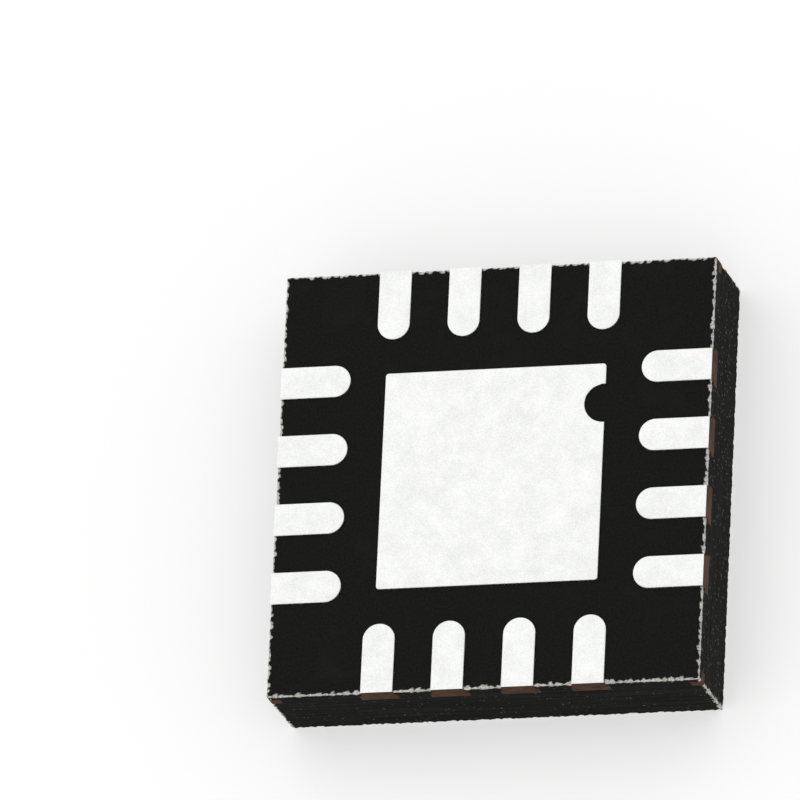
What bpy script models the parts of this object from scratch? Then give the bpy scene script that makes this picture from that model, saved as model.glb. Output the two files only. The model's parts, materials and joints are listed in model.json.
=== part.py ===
"""QFN chip: a quad flat package with sixteen leads and an exposed pad, lying on its blank top face.

Blender 4.5, metres, +Z up out of the terminal side. The origin is the middle of the blank top face, on the
surface that the chip lies on. A half-etched copper lead frame, the silicon die on it and the sixteen gold
bond wires between them are cast into a block of black epoxy, which is sawn out of its strip with the ends of
the leads flush in its walls.
"""

import math

import bmesh
import bpy
from mathutils import Matrix, Vector

MM = 0.001

# Leads, as they show on the terminal side
LEADS_PER_SIDE = 4
SIDES = 4
LEAD_PITCH = 0.65 * MM
LEAD_WIDTH = 0.30 * MM
LEAD_LENGTH = 0.65 * MM

# Lead frame
FRAME_THICKNESS = 0.20 * MM
HALF_ETCH = 0.5  # share of the frame's thickness that the etch leaves on lips, rim and tie bars
LEAD_LIP = 0.03 * MM  # half-etched lip along each flank of a lead
LEAD_NOSE = 0.08 * MM  # half-etched lip past the round inner end
LIP_SETBACK = 0.12 * MM  # sawn wall to the start of the lips
CORNER_ROOM = 0.295 * MM  # middle of a row's last lead to the noses of the next row
LEAD_TO_PAD = 0.325 * MM
PAD_RIM = 0.10 * MM  # half-etched rim round the exposed pad
PAD_CORNER = 0.03 * MM
NOTCH_RADIUS = 0.18 * MM  # half-round mark for lead 1
NOTCH_DEPTH = 0.19 * MM
TIE_BAR_WIDTH = 0.15 * MM
ETCH_HOLLOW = 0.025 * MM  # radius of the hollow that etching leaves at the foot of a flank
PLATED_EDGE = 0.006 * MM  # break along the edges of the terminal faces

# Stack from the blank top face to the seating plane of the terminals
MOULD_COVER = 0.265 * MM  # over the top of the wire loops
LOOP_HEIGHT = 0.16 * MM
DIE_THICKNESS = 0.25 * MM
BOND_LINE = 0.025 * MM
STANDOFF = 0.02 * MM  # terminals proud of the moulding

# Die, glue and wires
DIE_SIDE = 1.45 * MM
GLUE_FOOT = 0.08 * MM  # spread of the glue fillet on the pad, past the die
GLUE_BRIM = 0.015 * MM  # thickness of the fillet's upper edge
GLUE_CLIMB = 0.08 * MM  # how far the fillet climbs the die's flank
BOND_PAD_PITCH = 0.30 * MM
BOND_PAD_INSET = 0.075 * MM
WIRE_DIAMETER = 0.025 * MM
BALL_DIAMETER = 0.070 * MM
BALL_HEIGHT = 0.020 * MM
BALL_NECK = 0.036 * MM  # across the top of the ball, where the wire leaves it
STITCH_INSET = 0.13 * MM  # tip of a lead's nose to the end of its wire
STITCH_LENGTH = 0.07 * MM
STITCH_SQUEEZE = 0.5  # share of the wire's thickness left at the stitch

# Moulding
SAWN_EDGE = 0.012 * MM  # narrow break along the sawn edges
MOULD_GAP = 0.004 * MM  # moulding to what it holds
SEAT_GAP = 0.001 * MM  # between faces that seat on each other

# Facets
ROUND_STEPS = 10  # on a half circle
CORNER_STEPS = 3  # on a quarter circle
HOLLOW_STEPS = 2  # on the hollow at the foot of a flank
FILLET_STEPS = 4  # on the hollow of the glue
BALL_STEPS = 8
WIRE_STEPS = 9
WELD = 1e-9
SLIVER = 0.001 * MM  # points that the cuts leave closer than this are merged
CUTTER_OVERRUN = 0.10 * MM
SHARP_ANGLE = math.radians(40)

corner_margin = LEAD_LENGTH + LEAD_NOSE + CORNER_ROOM
half_body = (LEADS_PER_SIDE - 1) * LEAD_PITCH / 2 + corner_margin
half_pad = half_body - LEAD_LENGTH - LEAD_TO_PAD
half_rim = half_pad + PAD_RIM
half_die = DIE_SIDE / 2
nose_x = half_body - LEAD_LENGTH - LEAD_NOSE

die_face_z = MOULD_COVER + LOOP_HEIGHT
die_back_z = die_face_z + DIE_THICKNESS
frame_inner_z = die_back_z + BOND_LINE
frame_outer_z = frame_inner_z + FRAME_THICKNESS
half_etch_z = frame_inner_z + FRAME_THICKNESS * HALF_ETCH
mould_outer_z = frame_outer_z - STANDOFF


def row_offset(index, pitch):
    """Place along a row of the item at this index, from the row's middle, the first at the positive end."""
    return ((LEADS_PER_SIDE - 1) / 2 - index) * pitch


def arc(centre, radius, start, end, steps):
    """Points of a circular arc between two angles in degrees, both ends included."""
    angles = [math.radians(start + (end - start) * step / steps) for step in range(steps + 1)]
    return [(centre[0] + radius * math.cos(a), centre[1] + radius * math.sin(a)) for a in angles]


def as_mesh(guide, name):
    """The shape of an object as it stands, modifiers and place applied, as a mesh. The object is removed."""
    bpy.context.view_layer.update()
    evaluated = guide.evaluated_get(bpy.context.evaluated_depsgraph_get())
    mesh = bpy.data.meshes.new_from_object(evaluated)
    mesh.name = name
    mesh.transform(guide.matrix_world)
    shape = bmesh.new()
    shape.from_mesh(mesh)
    bmesh.ops.remove_doubles(shape, verts=shape.verts, dist=WELD)
    bmesh.ops.recalc_face_normals(shape, faces=shape.faces)
    shape.to_mesh(mesh)
    shape.free()
    bpy.data.objects.remove(guide)
    return mesh


def linked(name, data, collection):
    """A new object of this mesh or curve, in this collection."""
    made = bpy.data.objects.new(name, data)
    collection.objects.link(made)
    return made


def plate(name, outline, low, high):
    """A flat piece of the outline's shape between two heights, from a filled 2D curve."""
    curve = bpy.data.curves.new(name, "CURVE")
    curve.dimensions = "2D"
    curve.fill_mode = "BOTH"
    curve.extrude = (high - low) / 2
    spline = curve.splines.new("POLY")
    spline.points.add(len(outline) - 1)
    for point, (x, y) in zip(spline.points, outline):
        point.co = (x, y, 0, 1)
    spline.use_cyclic_u = True
    guide = linked(name, curve, bpy.context.scene.collection)
    guide.location.z = (low + high) / 2
    return linked(name, as_mesh(guide, name), bpy.context.scene.collection)


def lofted(name, outline, levels):
    """A solid whose section follows the outline, grown at each level by that level's amount, from the top."""
    shape = bmesh.new()
    rings = []
    for height, grow in levels:
        corners = [shape.verts.new((x, y, height)) for x, y in outline(grow)]
        rings.append([shape.edges.new(pair) for pair in zip(corners, corners[1:] + corners[:1])])
    for upper, lower in zip(rings, rings[1:]):
        bmesh.ops.bridge_loops(shape, edges=upper + lower)
    bmesh.ops.edgeloop_fill(shape, edges=rings[0])
    bmesh.ops.edgeloop_fill(shape, edges=rings[-1])
    bmesh.ops.recalc_face_normals(shape, faces=shape.faces)
    mesh = bpy.data.meshes.new(name)
    shape.to_mesh(mesh)
    shape.free()
    return linked(name, mesh, bpy.context.scene.collection)


def etched_levels(grow, overrun):
    """Height and growth of an etched plate's section, from its terminal face down to its inner face.

    The terminal face has a narrow break along its edge, the flank under it is straight, and at the
    half-etched layer it flares out in a hollow of a quarter circle. A cutter has no break and runs past the
    terminal face.
    """
    if overrun:
        levels = [(frame_outer_z + overrun, grow)]
    else:
        levels = [(frame_outer_z, -PLATED_EDGE), (frame_outer_z - PLATED_EDGE, 0)]
    for out, up in arc((ETCH_HOLLOW, ETCH_HOLLOW), ETCH_HOLLOW, 180, 270, HOLLOW_STEPS):
        levels.append((half_etch_z + grow + up, grow + out))
    levels.append((frame_inner_z - grow, grow + ETCH_HOLLOW))
    return levels


def joined(name, first, *others):
    """One mesh of objects that overlap, joined by Boolean unions. The objects are removed."""
    for other in others:
        union = first.modifiers.new("Union", "BOOLEAN")
        union.operation = "UNION"
        union.object = other
    mesh = as_mesh(first, name)
    for other in others:
        bpy.data.objects.remove(other)
    return mesh


def terminal_outline(grow, overrun):
    """A lead as it shows from below: straight flanks from the wall, at x = 0, to a round inner end."""
    half_width = LEAD_WIDTH / 2 + grow
    centre = (LEAD_LENGTH - LEAD_WIDTH / 2, 0)
    round_end = arc(centre, half_width, -90, 90, ROUND_STEPS)
    return [(-overrun, -half_width)] + round_end + [(-overrun, half_width)]


def lip_outline(grow):
    """The half-etched layer of a lead: wider than the terminal, longer, and set back from the wall."""
    half_width = LEAD_WIDTH / 2 + LEAD_LIP + grow
    centre = (LEAD_LENGTH + LEAD_NOSE - LEAD_WIDTH / 2 - LEAD_LIP, 0)
    round_end = arc(centre, half_width, -90, 90, ROUND_STEPS)
    start = LIP_SETBACK - grow
    return [(start, -half_width)] + round_end + [(start, half_width)]


def lead_mesh(name, grow=0, overrun=0):
    """One lead, its wall end at the origin and +X pointing in. Grown and overrun, it is its own cutter."""
    levels = etched_levels(grow, overrun)
    terminal = lofted("terminal", lambda more: terminal_outline(more, overrun), levels)
    lip = plate("lip", lip_outline(grow), frame_inner_z - grow, half_etch_z + grow)
    return joined(name, terminal, lip)


def exposed_pad_outline(grow):
    """The exposed pad: a square with small round corners, and the half-round mark between leads 1 and 2."""
    notch_centre = (half_pad - (NOTCH_DEPTH - NOTCH_RADIUS), row_offset(0, LEAD_PITCH) - LEAD_PITCH / 2)
    notch_radius = NOTCH_RADIUS - grow
    edge = half_pad + grow
    middle = half_pad - PAD_CORNER
    points = [(edge, notch_centre[1] - notch_radius)]
    points += arc(notch_centre, notch_radius, 270, 90, ROUND_STEPS)
    points += [(edge, notch_centre[1] + notch_radius)]
    for side in range(SIDES):
        turn = Matrix.Rotation(math.radians(90 * side), 2)
        centre = turn @ Vector((middle, middle))
        points += arc(centre, PAD_CORNER + grow, 90 * side, 90 * side + 90, CORNER_STEPS)
    return points


def web_outline(grow, overrun):
    """The half-etched layer of the die pad: its rim, and a tie bar out of each corner that ends at two walls.

    The bar's tip is cut back to the break along the moulding's upright edge.
    """
    rim = half_rim + grow
    end = half_body + overrun
    tip = end - SAWN_EDGE
    across = (TIE_BAR_WIDTH + 2 * grow) / math.sqrt(2)
    corner = [(rim, rim - across), (end, end - across), (end, tip), (tip, end), (end - across, end)]
    corner += [(rim - across, rim)]
    points = []
    for side in range(SIDES):
        turn = Matrix.Rotation(math.radians(90 * side), 2)
        points += [turn @ Vector(point) for point in corner]
    return points


def die_pad_mesh(name, grow=0, overrun=0):
    """The exposed pad with its rim and tie bars, all one piece of the frame."""
    pad = lofted("pad", exposed_pad_outline, etched_levels(grow, overrun))
    web = plate("web", web_outline(grow, overrun), frame_inner_z - grow, half_etch_z + grow)
    return joined(name, pad, web)


def block_mesh(name, low_half, high_half, low, high):
    """A square block between two heights, centred on the Z axis, from a cube. Its ends may differ in size."""
    shape = bmesh.new()
    bmesh.ops.create_cube(shape, size=1)
    for vertex in shape.verts:
        half = low_half if vertex.co.z < 0 else high_half
        vertex.co.x *= 2 * half
        vertex.co.y *= 2 * half
        vertex.co.z = low if vertex.co.z < 0 else high
    mesh = bpy.data.meshes.new(name)
    shape.to_mesh(mesh)
    shape.free()
    return mesh


def glue_outline(grow):
    """A square round the die, this far outside it."""
    half = half_die + grow
    return [(half, -half), (half, half), (-half, half), (-half, -half)]


def glue_mesh(name, grow=0):
    """The glue under the die: a bond line on the pad, and a fillet that climbs the die's flanks.

    The fillet is hollow, as the wet glue leaves it: a quarter of an ellipse from its foot, where it runs out
    level on the pad, to its brim, where it stands upright against the die.
    """
    foot_z = frame_inner_z - SEAT_GAP
    climb = foot_z - (die_back_z - GLUE_CLIMB - grow)
    levels = []
    for inwards, level in arc((0, 0), 1, 90, 0, FILLET_STEPS):
        levels.append((foot_z - climb * (1 - level), GLUE_FOOT + grow - (GLUE_FOOT - GLUE_BRIM) * inwards))
    return as_mesh(lofted(name, glue_outline, levels), name)


def wire_path(index):
    """Route of one bond wire over the right-hand side, from its ball on the die to its stitch on the lead.

    The chip lies on its top, so a loop rises towards the floor here. The route is a cubic Bezier curve: its
    first handle stands over the ball, 9/4 as high as the loop, so that the curve peaks at a third of its run
    just inside the loop height, and its second handle is halfway along at the level of the die's face, for a
    long slope down. After it the wire lies along the lead, where it is pressed to a thin end.
    """
    ball_middle_z = die_face_z - SEAT_GAP - BALL_HEIGHT / 2
    start = Vector((half_die - BOND_PAD_INSET, row_offset(index, BOND_PAD_PITCH), ball_middle_z))
    end = Vector((nose_x + STITCH_INSET, row_offset(index, LEAD_PITCH), frame_inner_z - SEAT_GAP))
    run = Vector((end.x - start.x, end.y - start.y, 0))
    landing = end - run.normalized() * STITCH_LENGTH
    landing.z -= WIRE_DIAMETER / 2
    end.z -= WIRE_DIAMETER * STITCH_SQUEEZE / 2
    rise = start + Vector((0, 0, -9 / 4 * (LOOP_HEIGHT - WIRE_DIAMETER / 2)))
    slope = start + run / 2
    points = []
    for step in range(WIRE_STEPS + 1):
        t = step / WIRE_STEPS
        weights = (1 - t) ** 3, 3 * t * (1 - t) ** 2, 3 * t * t * (1 - t), t ** 3
        points.append(sum((w * p for w, p in zip(weights, (start, rise, slope, landing))), Vector()))
    return points + [end]


def ball_profile(grow):
    """The bonded ball from its axis at the wire down its outer side to the die's face, in its own height."""
    radius = BALL_DIAMETER / 2 + grow
    neck = BALL_NECK / 2 + grow
    top = BALL_HEIGHT + grow
    return [(0, top), (neck, top), (radius, top * 0.6), (radius, top * 0.25), (radius * 0.8, 0), (0, 0)]


def wire_mesh(name, index, grow=0):
    """One bond wire: a round wire along its route, joined to the ball that it is bonded to the die by."""
    curve = bpy.data.curves.new(name, "CURVE")
    curve.dimensions = "3D"
    curve.bevel_depth = WIRE_DIAMETER / 2 + grow
    curve.bevel_resolution = 2
    curve.use_fill_caps = True
    path = wire_path(index)
    spline = curve.splines.new("POLY")
    spline.points.add(len(path) - 1)
    for point, place in zip(spline.points, path):
        point.co = (*place, 1)
    spline.points[-1].radius = STITCH_SQUEEZE
    guide = linked(name, curve, bpy.context.scene.collection)
    tube = linked(name, as_mesh(guide, name), bpy.context.scene.collection)

    profile = bpy.data.meshes.new("ball")
    outline = [(x, 0, z) for x, z in ball_profile(grow)]
    profile.from_pydata(outline, [(i, i + 1) for i in range(len(outline) - 1)], [])
    ball = linked("ball", profile, bpy.context.scene.collection)
    # Turned over, because the wire leaves the die towards the floor.
    ball.rotation_euler.x = math.pi
    ball.location = (path[0].x, path[0].y, die_face_z - SEAT_GAP)
    screw = ball.modifiers.new("Screw", "SCREW")
    screw.steps = BALL_STEPS
    screw.render_steps = BALL_STEPS
    screw.use_merge_vertices = True
    screw.merge_threshold = WELD
    solid_ball = linked("ball", as_mesh(ball, "ball"), bpy.context.scene.collection)
    return joined(name, tube, solid_ball)


def side_turn(side):
    """Turn about Z that takes the right-hand row to this side, clockwise as the terminals are seen."""
    return -math.pi / 2 * side


def shade(mesh):
    """Smooth over its facets, with sharp edges where two faces meet at more than the sharp angle."""
    mesh.shade_smooth()
    mesh.set_sharp_from_angle(angle=SHARP_ANGLE)


def place_rows(names, meshes, collection, lead=False):
    """One object for each lead position, from one mesh for each place in a row, numbered on from lead 1."""
    placed = []
    for side in range(SIDES):
        turn = Matrix.Rotation(side_turn(side), 4, "Z")
        for index in range(LEADS_PER_SIDE):
            number = side * LEADS_PER_SIDE + index + 1
            made = linked(names.format(number), meshes[index % len(meshes)], collection)
            made.rotation_euler.z = side_turn(side)
            if lead:
                made.location = turn @ Vector((half_body, row_offset(index, LEAD_PITCH), 0))
                made.rotation_euler.z += math.pi
            placed.append(made)
    return placed


def principled(name, colour, roughness, metallic=0.0):
    """A material of one colour, given in linear light."""
    material = bpy.data.materials.new(name)
    material.use_nodes = True
    material.diffuse_color = (*colour, 1)
    shader = material.node_tree.nodes["Principled BSDF"]
    shader.inputs["Base Color"].default_value = (*colour, 1)
    shader.inputs["Roughness"].default_value = roughness
    shader.inputs["Metallic"].default_value = metallic
    return material


for old in list(bpy.data.objects):
    bpy.data.objects.remove(old, do_unlink=True)

chip = bpy.data.collections.new("qfn_chip")
cutters = bpy.data.collections.new("qfn_chip_cutters")
bpy.context.scene.collection.children.link(chip)
bpy.context.scene.collection.children.link(cutters)

# Leads: one etched and plated blank, set round the package sixteen times
lead_blank = lead_mesh("lead")
lead_blank.materials.append(principled("matte_tin_on_copper", (0.78, 0.78, 0.76), 0.4, 1.0))
shade(lead_blank)
place_rows("lead_{:02d}", [lead_blank], chip, lead=True)

# Die pad: the exposed pad, its rim and its four tie bars
pad_blank = die_pad_mesh("die_pad")
pad_blank.materials.append(principled("matte_tin_on_die_pad", (0.78, 0.78, 0.76), 0.4, 1.0))
shade(pad_blank)
linked("die_pad", pad_blank, chip)

# Die and its glue, which has a pocket where the die sits
die_blank = block_mesh("silicon_die", half_die, half_die, die_face_z, die_back_z - SEAT_GAP)
die_blank.materials.append(principled("silicon", (0.12, 0.12, 0.15), 0.15, 0.6))
linked("silicon_die", die_blank, chip)
glue_blank = glue_mesh("die_attach")
glue_blank.materials.append(principled("silver_epoxy", (0.5, 0.5, 0.5), 0.5, 0.8))
glue = linked("die_attach", glue_blank, chip)
pocket_mesh = block_mesh("pocket", half_die + SEAT_GAP, half_die + SEAT_GAP, 0, die_back_z)
pocket = linked("die_pocket_cutter", pocket_mesh, bpy.context.scene.collection)
pocket.hide_render = True
pocket.display_type = "WIRE"
seat = glue.modifiers.new("Die pocket", "BOOLEAN")
seat.operation = "DIFFERENCE"
seat.object = pocket

# Bond wires: four routes for a row, repeated on each side
gold = principled("gold", (0.9, 0.6, 0.2), 0.25, 1.0)
wire_blanks = [wire_mesh("bond_wire", index) for index in range(LEADS_PER_SIDE)]
for blank in wire_blanks:
    blank.materials.append(gold)
    shade(blank)
place_rows("bond_wire_{:02d}", wire_blanks, chip)

# Moulding: a sawn block, with the room that the embedded pieces leave in it
body_mesh = block_mesh("mould_body", half_body, half_body, 0, mould_outer_z)
body_mesh.materials.append(principled("black_epoxy_moulding", (0.01, 0.01, 0.009), 0.6))
body = linked("mould_body", body_mesh, chip)
edges = body.modifiers.new("Sawn edges", "BEVEL")
edges.width = SAWN_EDGE
edges.segments = 1
place_rows("lead_cutter_{:02d}", [lead_mesh("lead_cutter", MOULD_GAP, CUTTER_OVERRUN)], cutters, lead=True)
linked("die_pad_cutter", die_pad_mesh("die_pad_cutter", MOULD_GAP, CUTTER_OVERRUN), cutters)
linked("glue_cutter", glue_mesh("glue_cutter", MOULD_GAP), cutters)
die_room = half_die + MOULD_GAP
die_room_mesh = block_mesh("die_cutter", die_room, die_room, die_face_z - MOULD_GAP, die_back_z)
linked("die_cutter", die_room_mesh, cutters)
wire_cutters = [wire_mesh("wire_cutter", index, MOULD_GAP) for index in range(LEADS_PER_SIDE)]
place_rows("wire_cutter_{:02d}", wire_cutters, cutters)
for cutter in cutters.objects:
    cutter.hide_render = True
    cutter.display_type = "WIRE"
room = body.modifiers.new("Room for the embedded pieces", "BOOLEAN")
room.operation = "DIFFERENCE"
room.operand_type = "COLLECTION"
room.collection = cutters
clean = body.modifiers.new("Merge slivers", "WELD")
clean.merge_threshold = SLIVER
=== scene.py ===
"""The looks of a QFN chip: a quad flat package with sixteen leads and an exposed pad, on its blank top face.

Blender 4.5, metres, +Z up out of the terminal side. The chip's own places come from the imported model. The
sections follow the chip as it is put together: lead frame, die pad, glue, die, bond wires, and the moulding
cast round them.
"""

import json
import math

import bmesh
import bpy
import numpy as np
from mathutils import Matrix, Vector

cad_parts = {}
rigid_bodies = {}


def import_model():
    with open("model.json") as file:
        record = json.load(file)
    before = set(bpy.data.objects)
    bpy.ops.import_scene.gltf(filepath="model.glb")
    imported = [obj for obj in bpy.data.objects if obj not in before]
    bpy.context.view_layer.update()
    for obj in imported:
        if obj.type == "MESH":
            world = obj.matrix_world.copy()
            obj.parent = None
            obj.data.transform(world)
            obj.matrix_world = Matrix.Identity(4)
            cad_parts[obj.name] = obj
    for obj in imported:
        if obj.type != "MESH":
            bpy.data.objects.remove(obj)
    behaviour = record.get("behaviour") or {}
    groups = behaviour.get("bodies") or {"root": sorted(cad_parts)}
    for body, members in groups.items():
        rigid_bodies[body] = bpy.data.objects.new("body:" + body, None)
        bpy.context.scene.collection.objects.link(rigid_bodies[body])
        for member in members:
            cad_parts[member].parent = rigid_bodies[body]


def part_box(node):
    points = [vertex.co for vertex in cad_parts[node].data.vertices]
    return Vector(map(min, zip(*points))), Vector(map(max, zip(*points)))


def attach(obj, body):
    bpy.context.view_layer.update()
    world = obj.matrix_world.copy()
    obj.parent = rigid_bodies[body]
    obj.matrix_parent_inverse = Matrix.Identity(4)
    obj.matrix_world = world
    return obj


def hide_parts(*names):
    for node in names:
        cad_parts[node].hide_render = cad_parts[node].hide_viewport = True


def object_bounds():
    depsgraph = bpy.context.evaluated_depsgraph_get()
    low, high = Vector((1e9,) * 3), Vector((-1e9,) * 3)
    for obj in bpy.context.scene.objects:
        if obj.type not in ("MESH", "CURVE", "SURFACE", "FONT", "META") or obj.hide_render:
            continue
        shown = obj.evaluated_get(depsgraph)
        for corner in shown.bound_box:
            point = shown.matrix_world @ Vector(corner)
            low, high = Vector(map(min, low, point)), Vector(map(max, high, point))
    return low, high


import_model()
cad_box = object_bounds()


# Camera
# The chip is seen from a long way off, from over its lower right, so that the terminal side is nearly square
# on and the right and lower walls show as two narrow bands.
MM = 0.001
PICTURE_SIDE = 800
FACE_MIDDLE_PIXEL = (491, 476)
CHIP_SIDE_PIXELS = 447
VIEW_TILT = math.radians(25)
VIEW_DIRECTION = math.radians(-52)
LENS = 800
SENSOR = 36
CLIP_RATIO = 100


def place_camera():
    """Puts the camera on a line through the terminal side's middle.

    Its distance is the picture's width at the chip times the lens over the sensor. The picture is rolled so
    that the lines that halve the angles between the face's edges stand at 45 degrees in it, which shares the
    tilt's slant evenly between its upright and its level edges.
    """
    chip_side = cad_box[1].x - cad_box[0].x
    pixel = chip_side / CHIP_SIDE_PIXELS
    distance = pixel * PICTURE_SIDE * LENS / SENSOR
    level = math.sin(VIEW_TILT)
    back = np.array((level * math.cos(VIEW_DIRECTION), level * math.sin(VIEW_DIRECTION), math.cos(VIEW_TILT)))
    seen = np.eye(3)[:2] - np.outer(back[:2], back)
    seen /= np.linalg.norm(seen, axis=1, keepdims=True)
    rising = seen[0] + seen[1]
    falling = seen[0] - seen[1]
    rising /= np.linalg.norm(rising)
    falling /= np.linalg.norm(falling)
    right = (rising + falling) / math.sqrt(2)
    up = (rising - falling) / math.sqrt(2)
    aside = (FACE_MIDDLE_PIXEL[0] - PICTURE_SIDE / 2) * pixel
    below = (FACE_MIDDLE_PIXEL[1] - PICTURE_SIDE / 2) * pixel
    place = np.array((0, 0, cad_box[1].z)) + back * distance - right * aside + up * below
    turned = np.eye(4)
    turned[:3] = np.stack((right, up, back, place), axis=1)

    lens = bpy.data.cameras.new("camera")
    lens.lens = LENS
    lens.sensor_width = SENSOR
    lens.clip_start = distance / CLIP_RATIO
    lens.clip_end = distance * CLIP_RATIO
    camera = bpy.data.objects.new("camera", lens)
    bpy.context.scene.collection.objects.link(camera)
    camera.matrix_world = turned.T.tolist()
    bpy.context.scene.camera = camera


place_camera()


# Light and floor
# Even studio light: a pale surround and one very broad soft lamp on the upper left, over a white floor that
# keeps a faint shadow where the chip lies on it.
SURROUND_LIGHT = 0.85
LAMP_STRENGTH = 0.22
LAMP_BREADTH = math.radians(80)
LAMP_TURN = (math.radians(-50), 0, math.radians(38))
FLOOR_REACH = 60 * MM
FLOOR_DROP = 0.0005 * MM
FLOOR_GLOW = 0.4
FLOOR_COLOUR = "#D8D8D8"
WHITE = "#FFFFFF"


def linear(colour):
    """RGBA in linear light of an sRGB hex colour: the power curve of 2.4, and a straight line near black."""
    values = np.array([int(colour[i : i + 2], 16) for i in (1, 3, 5)]) / 255
    light = np.where(values <= 0.04045, values / 12.92, ((values + 0.055) / 1.055) ** 2.4)
    return (*light.tolist(), 1)


def emptied(owner):
    """A new material or world, and its node tree with no node in it yet."""
    owner.use_nodes = True
    owner.node_tree.nodes.clear()
    return owner, owner.node_tree


def add_node(tree, kind, sockets=(), **settings):
    """Adds one node, sets its own properties, and gives each named socket a value or a link.

    A link comes from another node's socket, or from its first one in use where the node itself is given.
    """
    made = tree.nodes.new(f"ShaderNode{kind}")
    for name, value in settings.items():
        setattr(made, name, value)
    for name, value in dict(sockets).items():
        if isinstance(value, bpy.types.Node):
            value = next(socket for socket in value.outputs if socket.enabled)
        if isinstance(value, bpy.types.NodeSocket):
            tree.links.new(value, made.inputs[name])
        else:
            made.inputs[name].default_value = value
    return made


def light_the_room():
    """A surround that lights the chip at its own level but is seen and mirrored white, and a broad lamp."""
    world, tree = emptied(bpy.data.worlds.new("surround"))
    ray = add_node(tree, "LightPath").outputs
    mirrored = add_node(
        tree, "Math", {0: ray["Is Glossy Ray"], 1: ray["Is Transmission Ray"]}, operation="MAXIMUM"
    )
    seen = add_node(tree, "Math", {0: ray["Is Camera Ray"], 1: mirrored}, operation="MAXIMUM")
    level = add_node(tree, "MapRange", {"Value": seen, "To Min": SURROUND_LIGHT, "To Max": 1.0})
    glow = add_node(tree, "Background", {"Color": linear(WHITE), "Strength": level})
    add_node(tree, "OutputWorld", {"Surface": glow})
    bpy.context.scene.world = world

    lamp = bpy.data.lights.new("broad_lamp", "SUN")
    lamp.energy = LAMP_STRENGTH
    lamp.angle = LAMP_BREADTH
    placed = bpy.data.objects.new("broad_lamp", lamp)
    placed.rotation_euler = LAMP_TURN
    bpy.context.scene.collection.objects.link(placed)


def white_floor():
    """Diffuse pale grey. Its own glow, for the camera and reflections alone, brings it up to white."""
    material, tree = emptied(bpy.data.materials.new("white_floor"))
    ray = add_node(tree, "LightPath").outputs
    seen = add_node(tree, "Math", {0: ray["Is Camera Ray"], 1: ray["Is Glossy Ray"]}, operation="MAXIMUM")
    level = add_node(tree, "Math", {0: seen, 1: FLOOR_GLOW}, operation="MULTIPLY")
    paint = add_node(tree, "BsdfDiffuse", {"Color": linear(FLOOR_COLOUR)})
    glow = add_node(tree, "Emission", {"Color": linear(WHITE), "Strength": level})
    both = add_node(tree, "AddShader", {0: paint, 1: glow})
    add_node(tree, "OutputMaterial", {"Surface": both})
    return material


def lay_the_floor():
    """One square under the chip, from minus to plus the floor's reach both ways."""
    corners = [(-1, -1), (1, -1), (1, 1), (-1, 1)]
    mesh = bpy.data.meshes.new("floor")
    places = [(x * FLOOR_REACH, y * FLOOR_REACH, -FLOOR_DROP) for x, y in corners]
    mesh.from_pydata(places, [], [(0, 1, 2, 3)])
    floor = bpy.data.objects.new("floor", mesh)
    bpy.context.scene.collection.objects.link(floor)
    mesh.materials.append(white_floor())


light_the_room()
lay_the_floor()
bpy.context.scene.view_settings.view_transform = "Standard"


# Leads
# Sixteen copper lands, etched out of one sheet. The inner half of each is wider, a lip that locks it in the
# moulding. The face is plated with matte tin, and the saw leaves the outer end as bare copper.
LEADS = 16
LEADS_PER_SIDE = 4
LEAD_WIDTH = 0.30 * MM
LEAD_LENGTH = 0.65 * MM
LEAD_NOSE = 0.08 * MM
LEAD_LIP = 0.03 * MM
ETCH_HOLLOW = 0.025 * MM
PLATED_EDGE = 0.009 * MM
ETCHED_EDGE = 0.006 * MM
PLATING_CROWN = 0.0015 * MM
STANDOFF = 0.02 * MM
TIE_BAR_TIP = 0.012 * MM
SAWN_TIP = 1.5 * TIE_BAR_TIP
SILVER_SPOT = 0.34 * MM
FLANK_STEPS = 20
ROUND_STEPS = 28
WALL_STEPS = 12
QUARTER_STEPS = 4
ROOM_QUARTER_STEPS = 3
CROWN_STEPS = 8
MERGE = 1e-8
SHARP_ANGLE = math.radians(38)
METAL_PATCH = 0.16 * MM
TIN = "#F1F2F1"
TIN_SHADE = "#E1E2E0"
COPPER = "#A8664A"
COPPER_SHADE = "#6E3F2D"
SAWN_COPPER = "#674C3D"
SAWN_COPPER_SHADE = "#33261F"
COPPER_SKIN = "#BFBCB9"
SILVER = "#E2DFD8"


def grown(outline, amount):
    """An outline with every side moved outwards by an amount, mitred.

    A point moves along the sum of its two sides' normals over one plus their dot product. Points that lie
    together take the normals of the sides beyond them.
    """
    ahead = np.roll(outline, -1, axis=0) - outline
    length = np.linalg.norm(ahead, axis=1, keepdims=True)
    normal = np.stack((ahead[:, 1], -ahead[:, 0]), axis=1) / np.maximum(length, MERGE)
    before = np.roll(normal, 1, axis=0)
    dot = (normal * before).sum(axis=1, keepdims=True)
    return outline + amount * (normal + before) / (1 + dot)


def stacked(bands):
    """Rings of points in space, from pairs of a flat outline and its height, or a height for each point."""
    return np.stack([np.column_stack((flat, np.broadcast_to(height, len(flat)))) for flat, height in bands])


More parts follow.
